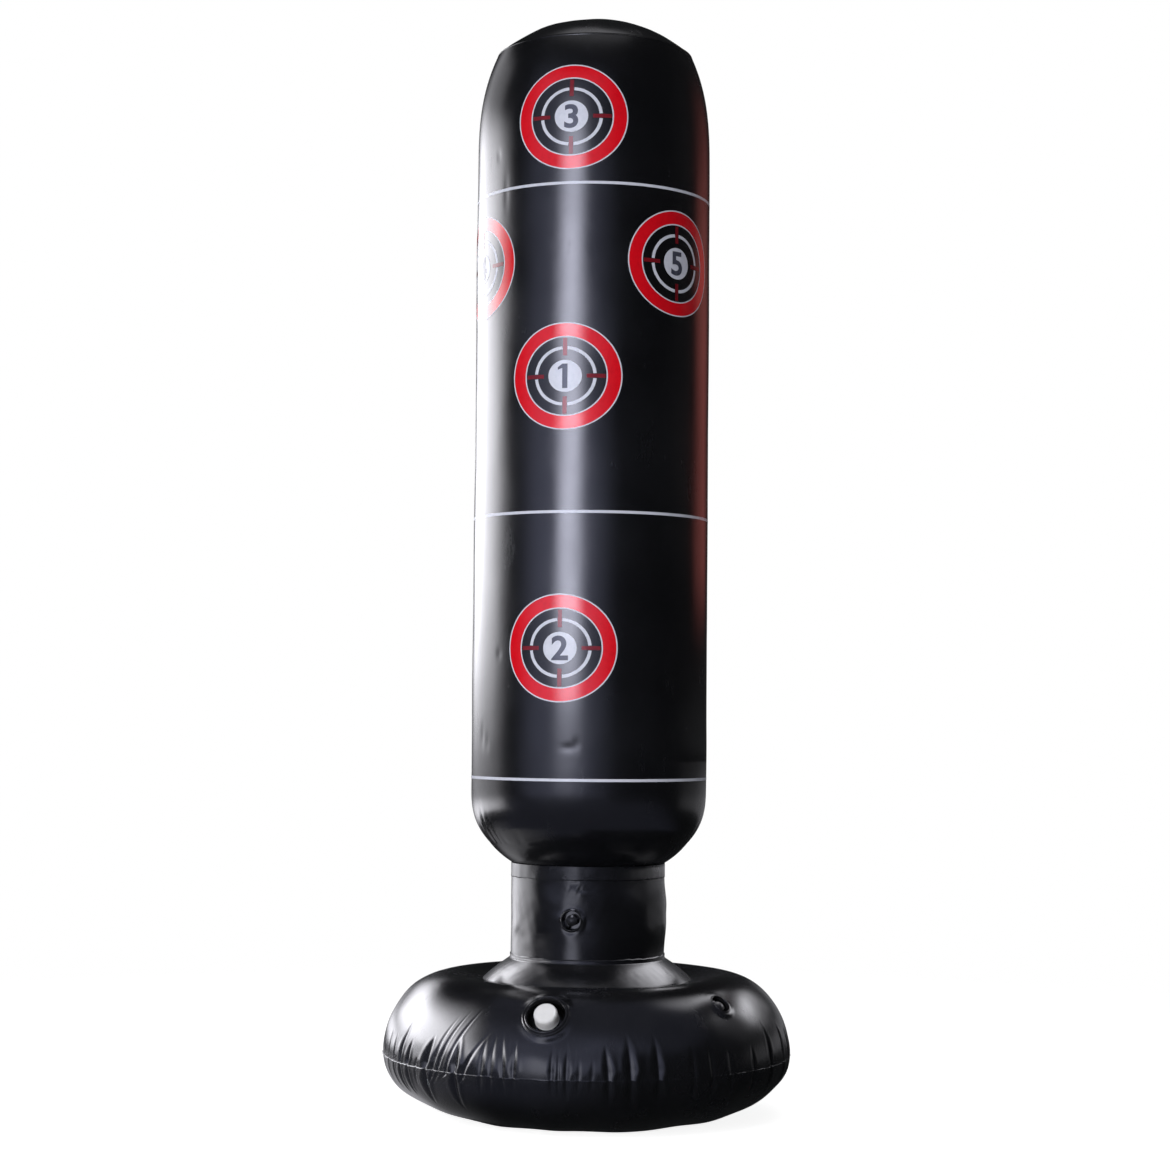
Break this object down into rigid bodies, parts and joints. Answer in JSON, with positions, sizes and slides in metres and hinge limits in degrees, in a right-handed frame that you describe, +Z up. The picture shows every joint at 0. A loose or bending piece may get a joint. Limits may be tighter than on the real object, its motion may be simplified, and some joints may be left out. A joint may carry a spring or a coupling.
{
  "type": "free-standing inflatable punching bag",
  "caption": "Tall inflatable punching column with target prints on a narrow flexible neck, standing on a round water-weighted cushion base with a filler cap and air valves.",
  "frame": {"origin": "on the floor under the middle of the base", "axes": "+Z up along the column, -Y the front with the filler cap and the neck's air valve"},
  "size_m": [0.594, 0.594, 1.6],
  "materials": {
    "pvc_film": "gloss",
    "printed_pvc_film": "gloss with red and white screen print",
    "moulded_pvc": "moulded gloss",
    "white_cap": "moulded satin",
    "seal": "matt",
    "water": "clear"
  },
  "bodies": {
    "base": {"base_lower_skin": "pvc_film", "base_upper_skin": "pvc_film", "water_ballast": "water", "neck_skirt": "pvc_film", "fill_port_pocket": "moulded_pvc", "fill_spout": "moulded_pvc", "base_valve_body": "moulded_pvc", "base_valve_strap": "moulded_pvc"},
    "cap_seal": {"fill_cap_gasket": "seal"},
    "cap": {"fill_cap": "white_cap"},
    "base_plug": {"base_valve_plug": "moulded_pvc"},
    "base_flap": {"base_valve_flap": "seal"},
    "neck": {"neck_tube": "pvc_film", "neck_valve_body": "moulded_pvc", "neck_valve_strap": "moulded_pvc"},
    "neck_plug": {"neck_valve_plug": "moulded_pvc"},
    "neck_flap": {"neck_valve_flap": "seal"},
    "column": {"neck_top_band": "pvc_film", "column_bottom_panel": "pvc_film", "column_sleeve": "printed_pvc_film", "column_top_panel": "pvc_film"}
  },
  "joints": [
    {"name": "neck_lower_flex", "type": "hinge", "parent": "base", "child": "neck", "pos_m": [0, 0, 0.247], "axis": [1, 0, 0], "range_deg": [-15, 15], "stiffness_Nm_per_rad": 60, "deforming": ["neck_tube"]},
    {"name": "neck_upper_flex", "type": "hinge", "parent": "neck", "child": "column", "pos_m": [0, 0, 0.336], "axis": [0, 1, 0], "range_deg": [-15, 15], "stiffness_Nm_per_rad": 60, "deforming": ["neck_tube"]},
    {"name": "cap_lift", "type": "slide", "parent": "base", "child": "cap_seal", "axis": [0, -0.7443, 0.6679], "range_m": [0, 0.02]},
    {"name": "cap_turn", "type": "hinge", "parent": "cap_seal", "child": "cap", "pos_m": [0, -0.264, 0.17206], "axis": [0, -0.7443, 0.6679], "range_deg": [0, 1440]},
    {"name": "base_plug_pull", "type": "slide", "parent": "base", "child": "base_plug", "axis": [0.5647, -0.3528, 0.7461], "range_m": [0, 0.012], "deforming": ["base_valve_strap"]},
    {"name": "base_flap_swing", "type": "hinge", "parent": "base", "child": "base_flap", "pos_m": [0.20475, -0.12795, 0.17199], "axis": [0.5299, 0.848, 0], "range_deg": [0, 50], "stiffness_Nm_per_rad": 0.0005},
    {"name": "neck_plug_pull", "type": "slide", "parent": "neck", "child": "neck_plug", "axis": [0, -1, 0], "range_m": [0, 0.012], "deforming": ["neck_valve_strap"]},
    {"name": "neck_flap_swing", "type": "hinge", "parent": "neck", "child": "neck_flap", "pos_m": [0, -0.0958, 0.2925], "axis": [1, 0, 0], "range_deg": [0, 50], "stiffness_Nm_per_rad": 0.0005}
  ],
  "couplings": [
    {"joint": "cap_lift", "follows": "cap_turn", "m_per_rad": 0.00079577}
  ]
}
